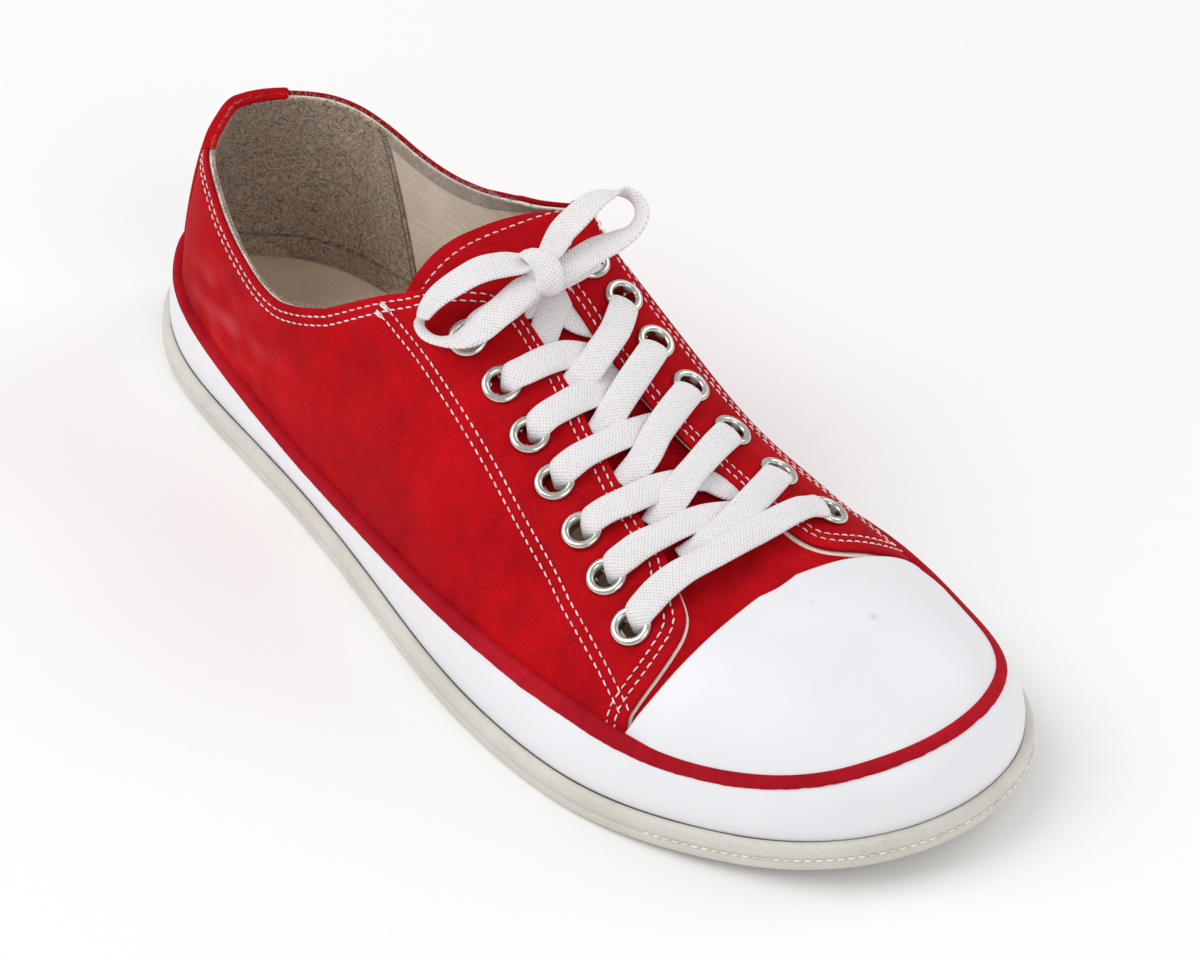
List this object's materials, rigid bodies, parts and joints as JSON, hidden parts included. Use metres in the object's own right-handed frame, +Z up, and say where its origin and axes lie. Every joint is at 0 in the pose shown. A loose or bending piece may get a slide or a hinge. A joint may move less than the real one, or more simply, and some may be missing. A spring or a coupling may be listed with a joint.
{
  "type": "barefoot sneaker",
  "caption": "Right barefoot sneaker: red leather upper, white toe cap and rand, flat rubber sole, white laces in a bow.",
  "frame": {"origin": "on the ground plane under the middle of the sole's length and width", "axes": "-Y to the toe, +Y to the heel, +X to the inner side of the foot, +Z up"},
  "size_m": [0.1089, 0.285, 0.0882],
  "materials": {
    "red_nubuck": "matt nubuck",
    "white_leather": "smooth, semi-matt",
    "rubber": "matt",
    "footbed": "matt",
    "nickel": "polished nickel",
    "cotton": "woven"
  },
  "bodies": {
    "root": {"eyelet_lateral_1": "nickel", "eyelet_lateral_2": "nickel", "eyelet_lateral_3": "nickel", "eyelet_lateral_4": "nickel", "eyelet_lateral_5": "nickel", "eyelet_lateral_6": "nickel", "eyelet_lateral_7": "nickel", "eyelet_medial_1": "nickel", "eyelet_medial_2": "nickel", "eyelet_medial_3": "nickel", "eyelet_medial_4": "nickel", "eyelet_medial_5": "nickel", "eyelet_medial_6": "nickel", "eyelet_medial_7": "nickel", "foxing": "white_leather", "insole": "footbed", "lace_crossings": "cotton", "lace_knot": "cotton", "lace_loop_lateral": "cotton", "lace_loop_medial": "cotton", "lace_strand_lateral": "cotton", "lace_strand_medial": "cotton", "lace_top_crossing": "cotton", "outsole": "rubber", "piping": "red_nubuck", "toe_cap": "white_leather", "tongue": "red_nubuck", "upper": "red_nubuck"}
  },
  "joints": []
}
